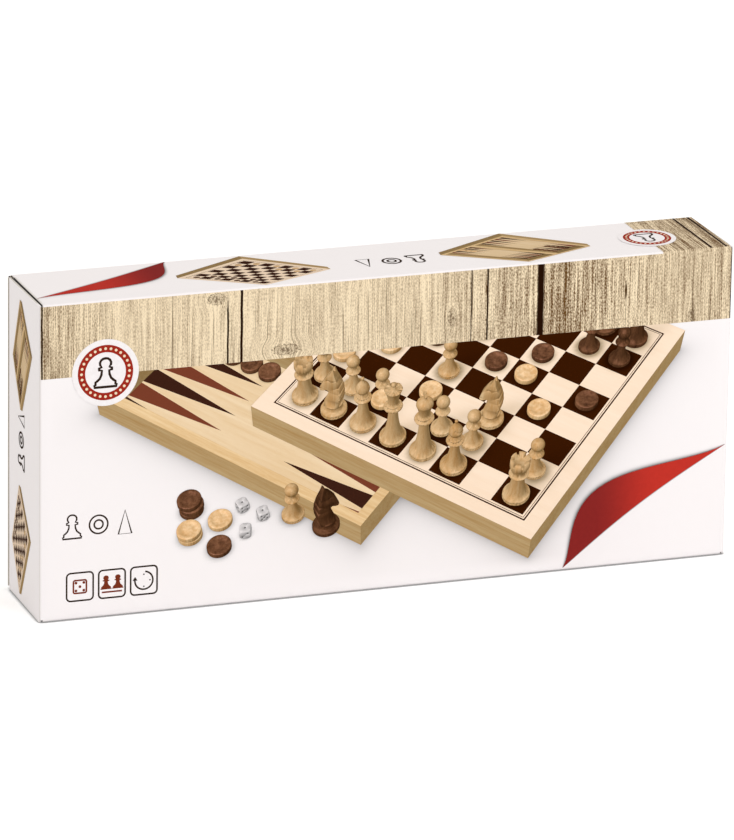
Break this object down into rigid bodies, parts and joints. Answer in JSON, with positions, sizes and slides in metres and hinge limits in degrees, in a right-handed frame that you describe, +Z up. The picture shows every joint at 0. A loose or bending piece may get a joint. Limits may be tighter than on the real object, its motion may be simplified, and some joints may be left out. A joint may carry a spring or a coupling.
{
  "type": "games compendium box",
  "caption": "White tuck-end carton standing on its long side, with hinged end closures, holding a folding wooden chess, draughts and backgammon case with its pieces.",
  "frame": {"origin": "middle of the bottom face that the carton stands on", "axes": "+X along the carton to the right, -Y out of the printed front panel, +Z up"},
  "size_m": [0.4, 0.061, 0.18],
  "materials": {
    "printed_board": "white, printed, satin",
    "rail_wood": "planed beech, matt lacquer",
    "board_veneer": "printed plywood, matt lacquer",
    "hinge_brass": "brown lacquered",
    "catch_steel": "dull",
    "light_piece_wood": "turned, clear lacquer",
    "dark_piece_wood": "turned, dark stain",
    "dice_plastic": "gloss",
    "leaflet_paper": "plain"
  },
  "bodies": {
    "carton": {"carton_sleeve": "printed_board", "front_tray_bottom_rail": "rail_wood", "front_tray_top_rail": "rail_wood", "front_tray_left_rail": "rail_wood", "front_tray_right_rail": "rail_wood", "front_board_panel": "board_veneer", "back_tray_bottom_rail": "rail_wood", "back_tray_top_rail": "rail_wood", "back_tray_left_rail": "rail_wood", "back_tray_right_rail": "rail_wood", "back_board_panel": "board_veneer", "front_hinge_leaves": "hinge_brass", "back_hinge_leaves": "hinge_brass", "hinge_pins": "hinge_brass", "hinge_screws": "hinge_brass", "front_catch_discs": "catch_steel", "back_catch_discs": "catch_steel", "light_king": "light_piece_wood", "light_queen": "light_piece_wood", "light_bishops": "light_piece_wood", "light_knights": "light_piece_wood", "light_rooks": "light_piece_wood", "light_pawns": "light_piece_wood", "dark_king": "dark_piece_wood", "dark_queen": "dark_piece_wood", "dark_bishops": "dark_piece_wood", "dark_knights": "dark_piece_wood", "dark_rooks": "dark_piece_wood", "dark_pawns": "dark_piece_wood", "light_draughts": "light_piece_wood", "dark_draughts": "dark_piece_wood", "light_dice": "dice_plastic", "dark_dice": "dark_piece_wood", "doubling_cube": "dice_plastic", "rules_leaflet": "leaflet_paper"},
    "left_closure": {"left_end_closure": "printed_board"},
    "left_lip": {"left_tuck_lip": "printed_board"},
    "left_upper_flap": {"left_upper_dust_flap": "printed_board"},
    "left_lower_flap": {"left_lower_dust_flap": "printed_board"},
    "right_closure": {"right_end_closure": "printed_board"},
    "right_lip": {"right_tuck_lip": "printed_board"},
    "right_upper_flap": {"right_upper_dust_flap": "printed_board"},
    "right_lower_flap": {"right_lower_dust_flap": "printed_board"}
  },
  "joints": [
    {"name": "left_closure_fold", "type": "hinge", "parent": "carton", "child": "left_closure", "pos_m": [-0.2, -0.0305, 0.09], "axis": [0, 0, 1], "range_deg": [0, 160]},
    {"name": "left_lip_fold", "type": "hinge", "parent": "left_closure", "child": "left_lip", "pos_m": [-0.1988, 0.0268, 0.09], "axis": [0, 0, -1], "range_deg": [0, 32]},
    {"name": "left_upper_flap_fold", "type": "hinge", "parent": "carton", "child": "left_upper_flap", "pos_m": [-0.1978, -0.002, 0.18], "axis": [0, 1, 0], "range_deg": [0, 80]},
    {"name": "left_lower_flap_fold", "type": "hinge", "parent": "carton", "child": "left_lower_flap", "pos_m": [-0.1978, -0.002, 0], "axis": [0, -1, 0], "range_deg": [0, 80]},
    {"name": "right_closure_fold", "type": "hinge", "parent": "carton", "child": "right_closure", "pos_m": [0.2, -0.0305, 0.09], "axis": [0, 0, -1], "range_deg": [0, 160]},
    {"name": "right_lip_fold", "type": "hinge", "parent": "right_closure", "child": "right_lip", "pos_m": [0.1988, 0.0268, 0.09], "axis": [0, 0, 1], "range_deg": [0, 32]},
    {"name": "right_upper_flap_fold", "type": "hinge", "parent": "carton", "child": "right_upper_flap", "pos_m": [0.1978, -0.002, 0.18], "axis": [0, -1, 0], "range_deg": [0, 80]},
    {"name": "right_lower_flap_fold", "type": "hinge", "parent": "carton", "child": "right_lower_flap", "pos_m": [0.1978, -0.002, 0], "axis": [0, 1, 0], "range_deg": [0, 80]}
  ],
  "couplings": [
    {"joint": "left_lip_fold", "follows": "left_closure_fold", "ratio": 0.2},
    {"joint": "left_upper_flap_fold", "follows": "left_closure_fold", "ratio": 0.5},
    {"joint": "left_lower_flap_fold", "follows": "left_closure_fold", "ratio": 0.5},
    {"joint": "right_lip_fold", "follows": "right_closure_fold", "ratio": 0.2},
    {"joint": "right_upper_flap_fold", "follows": "right_closure_fold", "ratio": 0.5},
    {"joint": "right_lower_flap_fold", "follows": "right_closure_fold", "ratio": 0.5}
  ]
}
